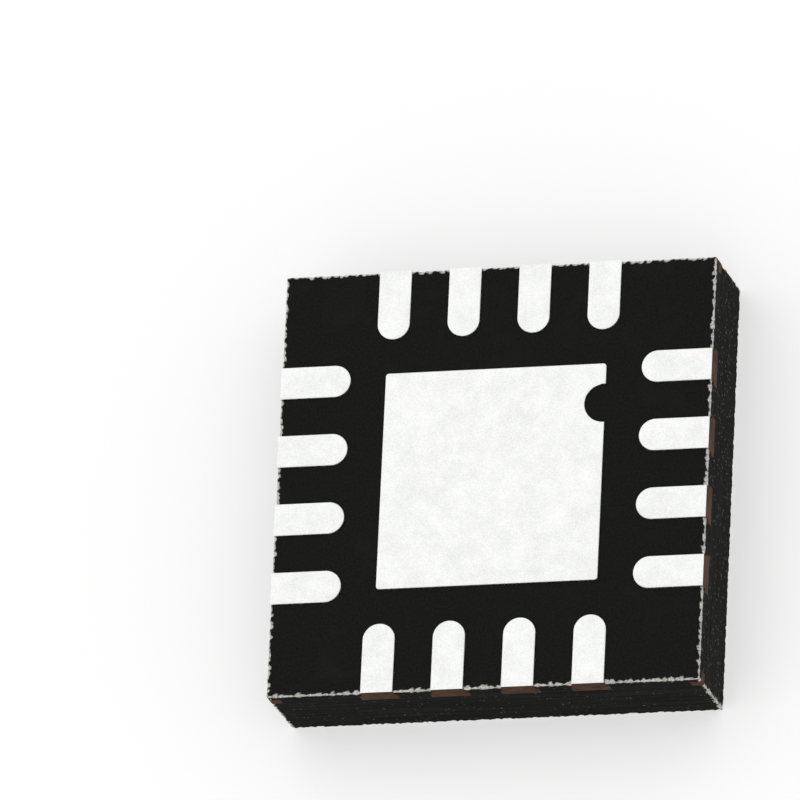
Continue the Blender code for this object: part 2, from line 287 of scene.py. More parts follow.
def etched_rings(foot, web, ways_in, levels, grow):
    """Rings of an etched piece, from its terminal face's middle over its edge and down to the inner face's.

    foot is the outline on the terminal face, and web the outline of the half-etched layer, with as many
    points. ways_in takes an outline and a share of the way from the face's middle out to it. grow moves an
    outline outwards. The section between the faces: a quarter round where the plating wraps the edge, a
    straight flank, a hollow quarter round from the etch, the flat ledge out to the web, and a small round on
    both of the web's edges. The terminal face is crowned by the fourth power of the way in.
    """
    inner, half, outer = levels
    top = outer - PLATING_CROWN
    quarter = np.linspace(0, math.pi / 2, QUARTER_STEPS + 1)
    shares = np.linspace(0, 1, CROWN_STEPS + 1)

    def rounded(outline, radius, level, sign):
        """A quarter round: in by radius times one less the sine, off its level by one less the cosine."""
        return [
            (grow(outline, radius * (math.sin(angle) - 1)), level - sign * radius * (1 - math.cos(angle)))
            for angle in quarter
        ]

    rim = grow(foot, -PLATED_EDGE)
    bands = [(ways_in(rim, share), top + PLATING_CROWN * (1 - share**4)) for share in shares[:-1]]
    bands += rounded(foot, PLATED_EDGE, top, 1)
    bands.append((grow(foot, 0), outer - STANDOFF - PLATED_EDGE))
    for angle in quarter:
        out = ETCH_HOLLOW * (1 - math.cos(angle))
        bands.append((grow(foot, out), half + ETCH_HOLLOW * (1 - math.sin(angle))))
    ledge = grow(web, -ETCHED_EDGE)
    bands.append(((bands[-1][0] + ledge) / 2, half))
    bands += rounded(web, ETCHED_EDGE, half, 1)
    bands += rounded(web, ETCHED_EDGE, inner, -1)[::-1]
    bands += [(ways_in(ledge, share), inner) for share in shares[-2::-1]]
    return stacked(bands)


def etched_room(foot, web, ways_in, levels, gap, overrun, grow):
    """Rings of the room that an etched piece takes up in the moulding.

    It has the piece's own section, a gap wider all round, and runs on past the terminal face.
    """
    inner, half, outer = levels
    rim = grow(foot, gap)
    bands = [(ways_in(rim, 0), outer + overrun), (rim, outer + overrun)]
    for angle in np.linspace(0, math.pi / 2, ROOM_QUARTER_STEPS + 1):
        out = gap + ETCH_HOLLOW * (1 - math.cos(angle))
        bands.append((grow(foot, out), half + gap + ETCH_HOLLOW * (1 - math.sin(angle))))
    ledge = grow(web, gap)
    bands += [(ledge, half + gap), (ledge, inner - gap)]
    bands += [(ways_in(ledge, share), inner - gap) for share in (0.5, 0)]
    return stacked(bands)


def closed(name, points, quads):
    """A mesh of these faces: seams and poles merged, faces without area dissolved, the rest turned out."""
    mesh = bpy.data.meshes.new(name)
    mesh.from_pydata(points, [], quads)
    shape = bmesh.new()
    shape.from_mesh(mesh)
    bmesh.ops.remove_doubles(shape, verts=shape.verts, dist=MERGE)
    bmesh.ops.dissolve_degenerate(shape, edges=shape.edges, dist=MERGE)
    bmesh.ops.recalc_face_normals(shape, faces=shape.faces)
    shape.to_mesh(mesh)
    shape.free()
    return mesh


def skinned(name, rings):
    """A closed mesh over rings of points: a quad between each two neighbours on each ring and the next."""
    count, around, _ = rings.shape
    index = np.arange(count * around).reshape(count, around)
    beside = np.roll(index, -1, axis=1)
    quads = np.stack((index[:-1], beside[:-1], beside[1:], index[1:]), axis=-1)
    return closed(name, rings.reshape(-1, 3), quads.reshape(-1, 4))


def shown(mesh, slot, *nodes):
    """Puts a finished mesh into the scene in place of its CAD nodes, smooth but for its sharp edges."""
    mesh.shade_smooth()
    mesh.set_sharp_from_angle(angle=SHARP_ANGLE)
    piece = bpy.data.objects.new(mesh.name, mesh)
    bpy.context.scene.collection.objects.link(piece)
    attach(piece, "root")
    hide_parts(*nodes)


def rows_of(items, field):
    """A field of three numbers of every vertex or face, as rows of x, y and z."""
    values = np.empty(len(items) * 3)
    items.foreach_get(field, values)
    return values.reshape(-1, 3)


def turned_to_side(points, side):
    """Points of the right-hand row, turned about Z to another side: a quarter turn clockwise for each."""
    angle = -math.pi / 2 * side
    x = points[..., 0] * math.cos(angle) - points[..., 1] * math.sin(angle)
    y = points[..., 0] * math.sin(angle) + points[..., 1] * math.cos(angle)
    return np.stack((x, y, points[..., 2]), axis=-1)


def at_x(x, places):
    """Points on a plane, all at one x, from their places along Y."""
    return np.column_stack((np.full(len(places), x), places))


def lead_outline(length, half_width, tip):
    """A lead from above, its wall end at x = 0 and its length along +X.

    A flank, half an ellipse, the other flank and the straight end. tip is how far the round end reaches along
    the lead.
    """
    flank = np.linspace(0, 1, FLANK_STEPS + 1)[:, None]
    bend = np.linspace(-math.pi / 2, math.pi / 2, ROUND_STEPS + 1)[1:-1]
    across = np.linspace(1, -1, WALL_STEPS + 1)[1:-1]
    straight = length - tip
    near = np.column_stack((straight * flank, np.full(len(flank), -half_width)))
    far = near[::-1] * (1, -1)
    nose = np.column_stack((straight + tip * np.cos(bend), half_width * np.sin(bend)))
    return np.concatenate((near, nose, far, at_x(0, half_width * across)))


wall_x = cad_box[1].x


def lead_rings(number, gap=0, overrun=0):
    """Rings of one lead, or of its room in the moulding, set where the lead's CAD node is."""
    low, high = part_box(f"lead_{number:02d}")
    side = (number - 1) // LEADS_PER_SIDE
    middle = turned_to_side(np.array((low + high) / 2), -side)
    half = LEAD_WIDTH / 2
    foot = lead_outline(LEAD_LENGTH, half, half)
    web = lead_outline(LEAD_LENGTH + LEAD_NOSE, half + LEAD_LIP, half + LEAD_LIP)
    levels = (low.z, (low.z + high.z) / 2, high.z)
    at_wall = foot[:, 0] == 0

    def ways_in(outline, share):
        """A lead's faces close on its middle line, which stops half a width short of both ends."""
        line = np.column_stack((np.clip(outline[:, 0], half, LEAD_LENGTH - half), np.zeros(len(outline))))
        return line + (outline - line) * share

    def grow(outline, amount):
        """The sides move out, and the wall end stays in the plane that the saw cuts, or runs on past it."""
        wider = grown(outline, amount)
        wider[at_wall, 0] = -overrun
        return wider

    if gap:
        rings = etched_room(foot, web, ways_in, levels, gap, overrun, grow)
    else:
        rings = etched_rings(foot, web, ways_in, levels, grow)
    return turned_to_side(rings * (-1, -1, 1) + (wall_x, middle[1], 0), side)


# A mix node's sockets by their places, because its numbers and its colours share their names.
SHARE, NUMBER_A, NUMBER_B, COLOUR_A, COLOUR_B = 0, 2, 3, 6, 7


def copper_and_tin():
    """The four finishes on the lead frame, in the order in which finish_frame counts them.

    Matte tin: electroplated on the bare faces, a satin near-white with a fine even grain. Its crystals are 3
    to 8 microns across, drawn here at about 14 so that they show. Sawn copper: dull brown, drawn out into
    level scratches 6 to 20 microns apart. Etched copper: a fine matte pink-brown. Silver: a thin bright spot
    for the bond. Bare copper has a skin of oxide, which keeps it from shining white where it is seen edge on.
    """
    finishes = (
        ("matte_tin_plate", TIN, TIN_SHADE, TIN, (0.35, 0.49), 0.014, 0.0009, (1, 1, 1)),
        ("sawn_copper", SAWN_COPPER, SAWN_COPPER_SHADE, COPPER_SKIN, (0.3, 0.5), 0.11, 0.0012, (1, 1, 14)),
        ("etched_copper", COPPER, COPPER_SHADE, COPPER_SKIN, (0.425, 0.575), 0.020, 0.0012, (1, 1, 1)),
        ("silver_spot", SILVER, TIN_SHADE, SILVER, (0.22, 0.34), 0.018, 0.0006, (1, 1, 1)),
    )
    for name, colour, shade, skin, (smooth, rough), grain, depth, stretch in finishes:
        material, tree = emptied(bpy.data.materials.new(name))
        place = add_node(tree, "TexCoord").outputs["Object"]
        drawn_out = add_node(tree, "Mapping", {"Vector": place, "Scale": stretch})
        fine = add_node(
            tree,
            "TexNoise",
            {"Vector": drawn_out, "Scale": 1 / (grain * MM), "Detail": 3.0, "Roughness": 0.6},
        )
        broad = add_node(
            tree, "TexNoise", {"Vector": place, "Scale": 1 / METAL_PATCH, "Detail": 4.0, "Roughness": 0.55}
        )
        mottle = add_node(tree, "Mix", {SHARE: 0.65, NUMBER_A: broad, NUMBER_B: fine}, data_type="FLOAT")
        tint = add_node(tree, "MapRange", {"Value": mottle, "From Min": 0.35, "From Max": 0.6})
        paint = add_node(
            tree, "Mix", {SHARE: tint, COLOUR_A: linear(shade), COLOUR_B: linear(colour)}, data_type="RGBA"
        )
        dull = add_node(
            tree,
            "MapRange",
            {"Value": mottle, "From Min": 0.3, "From Max": 0.7, "To Min": rough, "To Max": smooth},
        )
        bump = add_node(tree, "Bump", {"Height": fine, "Strength": 1.0, "Distance": depth * MM})
        shader = add_node(
            tree,
            "BsdfPrincipled",
            {
                "Base Color": paint,
                "Metallic": 1.0,
                "Roughness": dull,
                "Specular Tint": linear(skin),
                "Normal": bump,
            },
        )
        add_node(tree, "OutputMaterial", {"Surface": shader})
        yield material


TINNED, SAWN, ETCHED, SILVERED = range(4)
frame_finishes = list(copper_and_tin())
mould_face_z = cad_box[1].z - STANDOFF


def finish_frame(mesh, spots):
    """Gives each face of a lead or of the die pad its finish.

    It is tin where it stands clear of the moulding, bare copper where the saw has cut it, silver on the inner
    tips if the piece has spots, and etched copper elsewhere.
    """
    for material in frame_finishes:
        mesh.materials.append(material)
    middles = rows_of(mesh.polygons, "center")
    out = np.abs(middles[:, :2]).max(axis=1)
    clear = middles[:, 2] > mould_face_z - PLATED_EDGE
    sawn = (out > wall_x - MERGE) | (np.abs(middles[:, :2]).sum(axis=1) > 2 * wall_x - SAWN_TIP)
    inner = middles[:, 2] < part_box("lead_01")[0].z + ETCHED_EDGE
    bonded = inner & (out < wall_x - LEAD_LENGTH - LEAD_NOSE + SILVER_SPOT) & spots
    finish = np.select((sawn, clear, bonded), (SAWN, TINNED, SILVERED), ETCHED)
    mesh.polygons.foreach_set("material_index", finish.astype(np.int32))


for number in range(1, LEADS + 1):
    name = f"lead_{number:02d}"
    lead = skinned(f"plated_{name}", lead_rings(number))
    finish_frame(lead, spots=True)
    shown(lead, "tin_plated_copper", name)


# Die pad
# The middle of the same etched sheet: a thick pad with a half-etched rim round it, and a tie bar out of each
# corner that held it in the sheet. A half-round notch in the pad's edge marks lead 1.
PAD_RIM = 0.10 * MM
PAD_CORNER = 0.03 * MM
NOTCH_RADIUS = 0.18 * MM
NOTCH_DEPTH = 0.19 * MM
TIE_BAR_WIDTH = 0.15 * MM
LEAD_TO_PAD = 0.325 * MM
TIE_BAR_STEPS = 8
SIDE_STEPS = 44
SIDES = 4


def turned_flat(points, side):
    """Points on a plane turned anticlockwise by a quarter turn for each side."""
    angle = math.pi / 2 * side
    turn = np.array(((math.cos(angle), math.sin(angle)), (-math.sin(angle), math.cos(angle))))
    return points @ turn


def along(points, steps):
    """A straight run from each point to the next, cut into as many equal steps, without the last point."""
    share = np.arange(steps)[:, None] / steps
    return np.concatenate([a + (b - a) * share for a, b in zip(points[:-1], points[1:])])


def pad_outlines(reach, half_pad, notch_middle):
    """The pad's outline on the terminal side and the half-etched web's outline, point for point.

    Each side of the pad is a straight run, and each corner a quarter round. Beyond the run the web has the
    rim's straight edge, and beyond the corner the two flanks of a tie bar and its tip, which is cut to the
    body's corner. On the first side, the half circle of the lead 1 mark takes the place of part of the run.
    """
    half_rim = half_pad + PAD_RIM
    across = TIE_BAR_WIDTH / math.sqrt(2)
    straight = half_pad - PAD_CORNER
    run = np.linspace(-straight, straight, SIDE_STEPS + 1)
    bar = np.array(
        (
            (half_rim, half_rim - across),
            (reach, reach - across),
            (reach, reach - TIE_BAR_TIP),
            (reach - TIE_BAR_TIP, reach),
            (reach - across, reach),
            (half_rim - across, half_rim),
        )
    )
    bar_route = along(bar, TIE_BAR_STEPS)[1:]
    bend = np.linspace(0, math.pi / 2, len(bar_route) + 2)[1:-1]
    corner = straight + PAD_CORNER * np.column_stack((np.cos(bend), np.sin(bend)))
    foot, web = [], []
    for side in range(SIDES):
        edge = at_x(half_pad, run)
        if side == 0:
            bow = np.linspace(-math.pi / 2, math.pi / 2, SIDE_STEPS + 1)
            centre_x = half_pad - NOTCH_DEPTH + NOTCH_RADIUS
            mouth = np.column_stack(
                (centre_x - NOTCH_RADIUS * np.cos(bow), notch_middle + NOTCH_RADIUS * np.sin(bow))
            )
            lip = np.array(((half_pad, notch_middle - NOTCH_RADIUS), (half_pad, notch_middle + NOTCH_RADIUS)))
            low = edge[run < notch_middle - NOTCH_RADIUS - PAD_CORNER / 2]
            high = edge[run > notch_middle + NOTCH_RADIUS + PAD_CORNER / 2]
            edge = np.concatenate((low, lip[:1], mouth, lip[1:], high))
        beyond = at_x(half_rim, edge[:, 1] * (half_rim - across) / straight)
        foot += [turned_flat(edge, side), turned_flat(corner, side)]
        web += [turned_flat(beyond, side), turned_flat(bar_route, side)]
    return np.concatenate(foot), np.concatenate(web)


def pad_rings(gap=0, overrun=0):
    """Rings of the die pad, or its room. Its faces close on a square inside the rim, then on the middle."""
    low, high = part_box("die_pad")
    first, second = (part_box(f"lead_{number:02d}") for number in (1, 2))
    notch_middle = (first[0].y + first[1].y + second[0].y + second[1].y) / 4
    half_pad = wall_x - LEAD_LENGTH - LEAD_TO_PAD
    reach = high.x + overrun
    foot, web = pad_outlines(reach, half_pad, notch_middle)
    inside = half_pad - NOTCH_DEPTH - PAD_RIM

    def ways_in(outline, share):
        """From the middle to a plain square over the first half of the way, and from it to the outline."""
        square = np.clip(outline, -inside, inside)
        return np.where(share < 0.5, square * share * 2, square + (outline - square) * (share * 2 - 1))

    def grow(outline, amount):
        """The sides move out, and the tie bars' tips stay in the planes that they are cut to."""
        far = np.abs(outline)
        cut_off = (far > reach - MERGE) | (far.sum(axis=1, keepdims=True) > 2 * reach - TIE_BAR_TIP - MERGE)
        return np.where(cut_off, outline, grown(outline, amount))

    levels = (low.z, (low.z + high.z) / 2, high.z)
    if gap:
        return etched_room(foot, web, ways_in, levels, gap, overrun, grow)
    return etched_rings(foot, web, ways_in, levels, grow)


die_pad = skinned("plated_die_pad", pad_rings())
finish_frame(die_pad, spots=False)
shown(die_pad, "tin_plated_copper", "die_pad")


# Die attach
# Silver-filled epoxy, dabbed on the pad before the die is set down in it. It leaves a thin layer under the
# die, and a hollow fillet that creeps up the die's flanks to a slightly ragged brim.
GLUE_BRIM = 0.012 * MM
GLUE_RAGGED = 0.014 * MM
GLUE_WAVES = (5, 11, 23)
GLUE_STEPS = 10
GLUE_CORNER = 0.06 * MM
SEAT_GAP = 0.001 * MM
MIDDLE_STEPS = 4
SQUARE_STEPS = 48
ROUND_CORNER_STEPS = 8
FLAKE = 0.012 * MM
SILVER_EPOXY = "#B9B7B0"
SILVER_EPOXY_SHADE = "#807E79"


def round_square(half, corner):
    """A square outline with quarter-round corners, anticlockwise, with as many points whatever its size."""
    run = np.linspace(-1, 1, SQUARE_STEPS + 1)[:, None] * (half - corner)
    bend = np.linspace(0, math.pi / 2, ROUND_CORNER_STEPS + 1)[1:-1]
    turn = half - corner + corner * np.column_stack((np.cos(bend), np.sin(bend)))
    quarter = np.concatenate((at_x(half, run), turn))
    return np.concatenate([turned_flat(quarter, side) for side in range(SIDES)])


def square_rings(section):
    """Rings of a piece, square in plan, from rows of half width, corner radius and height, or heights."""
    return stacked([(round_square(half, min(corner, half)), height) for half, corner, height in section])


def glue_rings(gap=0):
    """From the pocket's middle under the die, up beside it, over the brim, down the fillet and back under.

    The fillet is a quarter of an ellipse about a point over its foot. The brim's height wanders along the
    edge as a sum of a few waves. A room's pocket is half a gap narrower and its fillet a gap further out.
    """
    low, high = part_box("die_attach")
    die_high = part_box("silicon_die")[1]
    pocket = die_high.x + SEAT_GAP - gap / 2
    floor = die_high.z + SEAT_GAP
    count = SIDES * (SQUARE_STEPS + ROUND_CORNER_STEPS)
    around = np.arange(count) / count
    waves = [np.sin(2 * math.pi * turns * around + turns * turns) / len(GLUE_WAVES) for turns in GLUE_WAVES]
    brim = low.z + GLUE_RAGGED * (1 + sum(waves)) / 2 - gap
    shares = np.linspace(0, 1, MIDDLE_STEPS + 1)
    section = [(share * pocket, 0, floor) for share in shares]
    section += [(pocket, 0, brim), (pocket + GLUE_BRIM / 2, GLUE_BRIM / 2, brim - GLUE_BRIM / 4)]
    start = pocket + GLUE_BRIM + gap * 1.5
    foot = high.x + gap
    for angle in np.linspace(0, math.pi / 2, GLUE_STEPS + 1):
        half = foot - (foot - start) * math.cos(angle)
        corner = GLUE_CORNER * math.sin(angle) + GLUE_BRIM
        section.append((half, corner, brim + (high.z - brim) * math.sin(angle)))
    section += [(share * foot, (GLUE_CORNER + GLUE_BRIM) * share, high.z) for share in shares[-2::-1]]
    return square_rings(section)


def silver_epoxy():
    """Silver-filled epoxy, cured: a satin pale grey, duller than silver, with flakes of 5 to 15 microns."""
    material, tree = emptied(bpy.data.materials.new("silver_filled_epoxy"))
    place = add_node(tree, "TexCoord").outputs["Object"]
    flakes = add_node(tree, "TexVoronoi", {"Vector": place, "Scale": 1 / FLAKE}).outputs["Distance"]
    paint = add_node(
        tree,
        "Mix",
        {SHARE: flakes, COLOUR_A: linear(SILVER_EPOXY), COLOUR_B: linear(SILVER_EPOXY_SHADE)},
        data_type="RGBA",
    )
    dull = add_node(tree, "MapRange", {"Value": flakes, "To Min": 0.38, "To Max": 0.6})
    bump = add_node(tree, "Bump", {"Height": flakes, "Strength": 1.0, "Distance": 0.0015 * MM})
    shader = add_node(
        tree, "BsdfPrincipled", {"Base Color": paint, "Metallic": 0.7, "Roughness": dull, "Normal": bump}
    )
    add_node(tree, "OutputMaterial", {"Surface": shader})
    return material


glue = skinned("silver_epoxy_fillet", glue_rings())
glue.materials.append(silver_epoxy())
shown(glue, "silver_epoxy", "die_attach")


# Die
# A square of silicon diced out of a polished wafer, its active face turned away from the pad. Along its edges
# sixteen aluminium bond pads are open in the passivation, inside the bare street that the saw ran down.
BOND_PAD_SIDE = 0.080 * MM
BOND_PAD_PITCH = 0.30 * MM
BOND_PAD_INSET = 0.075 * MM
BOND_PAD_STEP = 0.0008 * MM
STREET = 0.018 * MM
STREET_STEP = 0.0015 * MM
STEP_WIDTH = 0.0006 * MM
DIE_WALL_STEPS = 6
METRE_DIGITS = 10
BARE, PASSIVATED, BOND_PAD = range(3)
SILICON = "#4A4F5C"
SILICON_SHADE = "#393C49"
PASSIVATION = "#5A5568"
ALUMINIUM = "#D9D9DB"
ALUMINIUM_SHADE = "#B4B4B8"


def die_mesh():
    """A block over a grid. Pairs of its lines follow the edges of bond pads and street, and make the steps.

    The active face steps in by the street's depth along its edges and by the passivation's in each bond pad.
    """
    low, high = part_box("silicon_die")
    half = high.x
    centres = (np.arange(LEADS_PER_SIDE) - (LEADS_PER_SIDE - 1) / 2) * BOND_PAD_PITCH
    row = half - BOND_PAD_INSET
    middles = np.concatenate((centres, (row, -row)))
    street_edges = (half - STREET, STREET - half)
    edges = np.concatenate((middles - BOND_PAD_SIDE / 2, middles + BOND_PAD_SIDE / 2, street_edges))
    lines = np.concatenate((edges - STEP_WIDTH / 2, edges + STEP_WIDTH / 2, (half, -half)))
    lines = np.unique(np.round(lines, METRE_DIGITS))
    steps = np.linspace(low.z, high.z, DIE_WALL_STEPS + 1)
    flat = np.stack(np.meshgrid(lines, lines, indexing="ij"), axis=-1).reshape(-1, 2)
    parts = [(spots, len(lines)) for spots in stacked([(flat, low.z), (flat, high.z)])]
    for side in range(SIDES):
        along_wall, up = np.meshgrid(lines, steps, indexing="ij")
        wall = turned_flat(at_x(half, along_wall.ravel()), side)
        parts.append((np.column_stack((wall, up.ravel())), len(steps)))
    points, quads, start = [], [], 0
    for spots, across in parts:
        index = np.arange(len(spots)).reshape(-1, across) + start
        corners = np.stack((index[:-1, :-1], index[1:, :-1], index[1:, 1:], index[:-1, 1:]), axis=-1)
        quads.append(corners.reshape(-1, 4))
        points.append(spots)
        start += len(spots)
    mesh = closed("diced_silicon", np.concatenate(points), np.concatenate(quads))

    def on_bond_pad(spots):
        """True where a point is inside one of the squares, on any of the four sides."""
        flat = np.abs(spots[:, :2])
        near = np.abs(flat[:, :, None] - np.abs(centres)).min(axis=2) < BOND_PAD_SIDE / 2
        edge = np.abs(flat - row) < BOND_PAD_SIDE / 2
        return (near[:, 0] & edge[:, 1]) | (near[:, 1] & edge[:, 0])

    corners = rows_of(mesh.vertices, "co")
    active = corners[:, 2] < low.z + MERGE
    street = np.abs(corners[:, :2]).max(axis=1) > half - STREET
    corners[:, 2] += active * (street * STREET_STEP + on_bond_pad(corners) * BOND_PAD_STEP)
    mesh.vertices.foreach_set("co", corners.ravel())
    middle = rows_of(mesh.polygons, "center")
    front = middle[:, 2] < low.z + STREET_STEP + MERGE
    open_pad = front & on_bond_pad(middle)
    covered = front & (np.abs(middle[:, :2]).max(axis=1) < half - STREET)
    finish = np.select((open_pad, covered), (BOND_PAD, PASSIVATED), BARE)
    mesh.polygons.foreach_set("material_index", finish.astype(np.int32))
    return mesh


def silicon_finishes():
    """Diced silicon, passivation over the circuit, and bare aluminium.

    The flanks are a dark mirror, frosted by the dicing blade. The active face is a smooth violet grey from
    the thin glass over it, with rows of circuit 3 microns apart. The bond pads are a bright, grained metal.
    """
    finishes = (
        ("diced_silicon", SILICON, SILICON_SHADE, (0.245, 0.455), 0.9, 0.02, (1, 1, 8)),
        ("passivated_circuit", PASSIVATION, SILICON_SHADE, (0.112, 0.208), 0.8, 0.012, (1, 4, 1)),
        ("aluminium_bond_pad", ALUMINIUM, ALUMINIUM_SHADE, (0.21, 0.39), 1.0, 0.008, (1, 1, 1)),
    )
    for name, colour, shade, (smooth, rough), metallic, grain, stretch in finishes:
        material, tree = emptied(bpy.data.materials.new(name))
        place = add_node(tree, "TexCoord").outputs["Object"]
        drawn_out = add_node(tree, "Mapping", {"Vector": place, "Scale": stretch})
        cells = add_node(tree, "TexNoise", {"Vector": drawn_out, "Scale": 1 / (grain * MM), "Detail": 2.0})
        paint = add_node(
            tree, "Mix", {SHARE: cells, COLOUR_A: linear(shade), COLOUR_B: linear(colour)}, data_type="RGBA"
        )
        dull = add_node(tree, "MapRange", {"Value": cells, "To Min": smooth, "To Max": rough})
        shader = add_node(
            tree, "BsdfPrincipled", {"Base Color": paint, "Metallic": metallic, "Roughness": dull}
        )
        add_node(tree, "OutputMaterial", {"Surface": shader})
        yield material


die = die_mesh()
for material in silicon_finishes():
    die.materials.append(material)
shown(die, "silicon", "silicon_die")


# Bond wires
# Sixteen gold wires, each welded on as a squashed ball at a bond pad of the die, looped over the die's edge
# and pressed down into a flat stitch on the silvered tip of its lead.
WIRE_DIAMETER = 0.025 * MM
BALL_DIAMETER = 0.070 * MM
BALL_HEIGHT = 0.020 * MM
BALL_WAIST = 0.42
BALL_STEEPNESS = 1.9
BALL_NECK = 0.036 * MM
NECK_REACH = 0.012 * MM
STITCH_INSET = 0.13 * MM
STITCH_LENGTH = 0.07 * MM
STITCH_PRESSED = 0.8
STITCH_SQUEEZE = 0.45
STITCH_SPREAD = 1.5
WIRE_STEPS = 56
BALL_RINGS = 12
STITCH_RINGS = 6
WIRE_SIDES = 16
GOLD_PATCH = 0.02 * MM
GOLD = "#F0C064"
GOLD_SHADE = "#D69A3C"


def wire_route(number):
    """The middle line of one wire, over the right-hand side, and the level direction that it heads in.

    It stands up from the bond pad through the ball, then follows a cubic Bezier curve. The first handle is
    over the ball, 9/4 as high as the loop, so that the curve peaks a third of the way along. The second is
    halfway along at the level of the die's face. At the end it lies flat along the lead.
    """
    index = (number - 1) % LEADS_PER_SIDE
    die_low, die_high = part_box("silicon_die")
    lead_low, lead_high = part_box(f"lead_{index + 1:02d}")
    loop = die_low.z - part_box("bond_wire_01")[0].z
    ball_place = ((LEADS_PER_SIDE - 1) / 2 - index) * BOND_PAD_PITCH
    pad_z = die_low.z - SEAT_GAP
    start = np.array((die_high.x - BOND_PAD_INSET, ball_place, pad_z - BALL_HEIGHT / 2))
    end = np.array((lead_low.x + STITCH_INSET, (lead_low.y + lead_high.y) / 2, lead_low.z - SEAT_GAP))
    level = (end - start) * (1, 1, 0)
    heading = level / np.linalg.norm(level)
    landing = end - heading * STITCH_LENGTH - (0, 0, WIRE_DIAMETER / 2)
    end = end - (0, 0, WIRE_DIAMETER * STITCH_SQUEEZE / 2)
    rise = start - (0, 0, 9 / 4 * (loop - WIRE_DIAMETER / 2))
    slope = start + level / 2
    t = np.linspace(0, 1, WIRE_STEPS + 1)[:, None]
    curve = (1 - t) ** 3 * start + 3 * t * (1 - t) ** 2 * rise + 3 * t**2 * (1 - t) * slope + t**3 * landing
    foot = np.array((start[0], start[1], pad_z))
    ball = foot + (start - foot) * np.linspace(0, 1, BALL_RINGS + 1)[:-1, None]
    stitch = landing + (end - landing) * np.linspace(0, 1, STITCH_RINGS + 1)[1:, None]
    return np.concatenate((ball, curve, stitch)), heading


def wire_rings(number, gap=0):
    """Rings of one wire: an ellipse carried along its route, square to it.

    Its half width along the run is the ball's bulge near the pad, the neck's taper after it, then the wire's
    radius, and at the stitch it is squeezed upright and spread sideways. Both ends close on a point.
    """
    route, heading = wire_route(number)
    run = np.concatenate(((0,), np.linalg.norm(np.diff(route, axis=0), axis=1).cumsum()))
    radius = WIRE_DIAMETER / 2
    up = run / BALL_HEIGHT
    bulge = BALL_DIAMETER / 2 * np.sqrt(np.clip(1 - (BALL_STEEPNESS * (up - BALL_WAIST)) ** 4, 0, 1))
    shoulder = radius + (BALL_NECK / 2 - radius) * np.clip(1 - (run - BALL_HEIGHT) / NECK_REACH, 0, 1) ** 2
    round_width = np.where(up < 1, np.maximum(bulge, BALL_NECK / 2), shoulder) + gap
    to_stitch = np.clip(1 - (run[-1] - run) / (STITCH_LENGTH * STITCH_PRESSED), 0, 1)
    pressed = to_stitch**2 * (3 - 2 * to_stitch)
    upright = round_width * (1 - (1 - STITCH_SQUEEZE) * pressed * (gap == 0))
    sideways = round_width * (1 + (STITCH_SPREAD - 1) * pressed)
    tangent = np.gradient(route, axis=0)
    tangent /= np.linalg.norm(tangent, axis=1, keepdims=True)
    aside = np.array((-heading[1], heading[0], 0))
    outward = np.cross(aside, tangent)
    sides = WIRE_SIDES // 2 if gap else WIRE_SIDES
    angle = np.arange(sides) / sides * 2 * math.pi
    ring = (
        outward[:, None] * (upright[:, None] * np.cos(angle))[..., None]
        + aside * (sideways[:, None] * np.sin(angle))[..., None]
    )
    tips = route[[0, -1], None] + np.stack((-tangent[:1], tangent[-1:])) * gap + np.zeros((1, sides, 1))
    rings = np.concatenate((tips[:1], route[:, None] + ring, tips[1:]))
    return turned_to_side(rings, (number - 1) // LEADS_PER_SIDE)


def drawn_gold():
    """Drawn gold wire: a smooth bright yellow metal with a slightly duller skin in patches of 20 microns."""
    material, tree = emptied(bpy.data.materials.new("drawn_gold_wire"))
    place = add_node(tree, "TexCoord").outputs["Object"]
    patches = add_node(tree, "TexNoise", {"Vector": place, "Scale": 1 / GOLD_PATCH, "Detail": 3.0})
    paint = add_node(
        tree, "Mix", {SHARE: patches, COLOUR_A: linear(GOLD_SHADE), COLOUR_B: linear(GOLD)}, data_type="RGBA"
    )
    dull = add_node(tree, "MapRange", {"Value": patches, "To Min": 0.16, "To Max": 0.34})
    shader = add_node(tree, "BsdfPrincipled", {"Base Color": paint, "Metallic": 1.0, "Roughness": dull})
    add_node(tree, "OutputMaterial", {"Surface": shader})
    return material


gold = drawn_gold()
for number in range(1, LEADS + 1):
    wire = skinned(f"gold_wire_{number:02d}", wire_rings(number))
    wire.materials.append(gold)
    shown(wire, "gold_wire", f"bond_wire_{number:02d}")


# Moulding
# Black epoxy filled with fine silica, pressed round a whole strip of frames and then sawn into chips. The two
# faces keep the mould's grain. The walls are sawn, with filler cut open in them, and their edges are chipped.
# The chipped edges are painted near white, partly as crushed filler and partly as a painted edge highlight.
MOULD_GAP = 0.004 * MM
WALL_RINGS = 38
FACE_RINGS = 4
SIDE_POINTS = 260
EDGE_LINES = 0.001 * np.array((0, 3, 7, 12, 18, 26, 38)) * MM
FACE_INSET = EDGE_LINES[-1] * 1.6
CHIP_SEED = 7
CHIP_PITCH = 0.053 * MM
CHIP_SCATTER = (0.15, 0.85)
CHIP_WIDTH = (0.034 * MM, 0.058 * MM)
CHIP_DEPTH = (0.014 * MM, 0.030 * MM)
CHIP_SHARES = (0.4, 0.8, 1)
EDGE_BREAK = 0.010 * MM
SAW_RIPPLE = 0.0012 * MM
RIPPLE_WAVES = 12
RIPPLE_LENGTH = (0.018 * MM, 0.09 * MM)
RIPPLE_SLANT = 0.012
CUTTER_OVERRUN = 0.10 * MM
SLIVER = 0.0006 * MM
FACE_LEVEL = 0.0005 * MM
BREAK_START = 0.0012 * MM
BREAK_FADE = 0.0015 * MM
DEEPEST_BREAK = CHIP_DEPTH[1] * 1.5
MOULD_GRAIN = 0.02 * MM
RESIN_FLOW = 0.5 * MM
BLADE_MARK = 0.8 * MM
SILICA_BEAD = 0.034 * MM
CRUSHED_GRAIN = 0.016 * MM
MOULD_BLACK = "#171714"
MOULD_BLACK_SHADE = "#090908"
MOULD_BLOOM = "#1D1D19"
